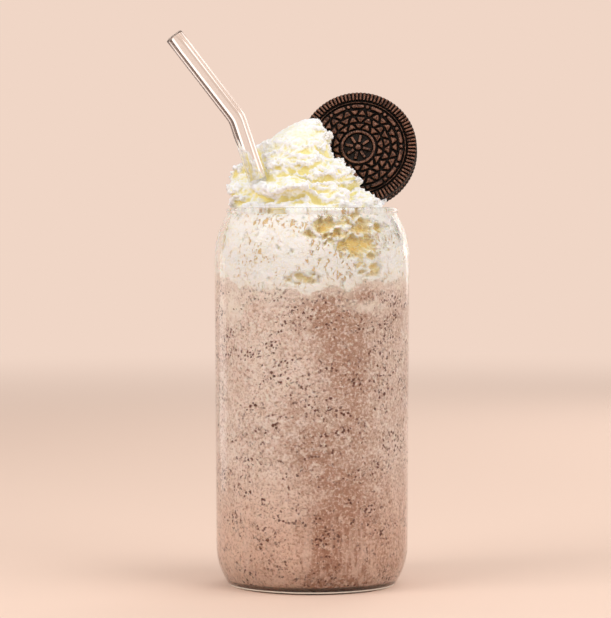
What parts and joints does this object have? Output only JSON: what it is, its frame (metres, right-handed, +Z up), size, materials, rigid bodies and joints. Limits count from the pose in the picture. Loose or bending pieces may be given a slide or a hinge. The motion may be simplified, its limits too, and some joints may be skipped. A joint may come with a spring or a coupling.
{
  "type": "milkshake",
  "caption": "Cookies-and-cream milkshake in a can-shaped glass, topped with piped whipped cream, a bent glass straw and a dark sandwich cookie standing in the cream.",
  "frame": {"origin": "on the glass's axis, on the surface that the glass stands on", "axes": "+Z up along the glass's axis; +X towards the cookie's side; -Y is the front"},
  "size_m": [0.0954, 0.075, 0.2115],
  "materials": {
    "clear_glass": "clear, polished",
    "milkshake": "thick pale chocolate drink with small dark specks",
    "whipped_cream": "soft, slightly moist, ivory",
    "straw_glass": "clear, polished",
    "dark_wafer": "dry, matt, very dark brown",
    "cookie_filling": "matt, off-white"
  },
  "bodies": {
    "root": {"glass": "clear_glass", "milkshake": "milkshake", "whipped_cream": "whipped_cream", "straw": "straw_glass", "front_wafer": "dark_wafer", "back_wafer": "dark_wafer", "cookie_filling": "cookie_filling"}
  },
  "joints": []
}
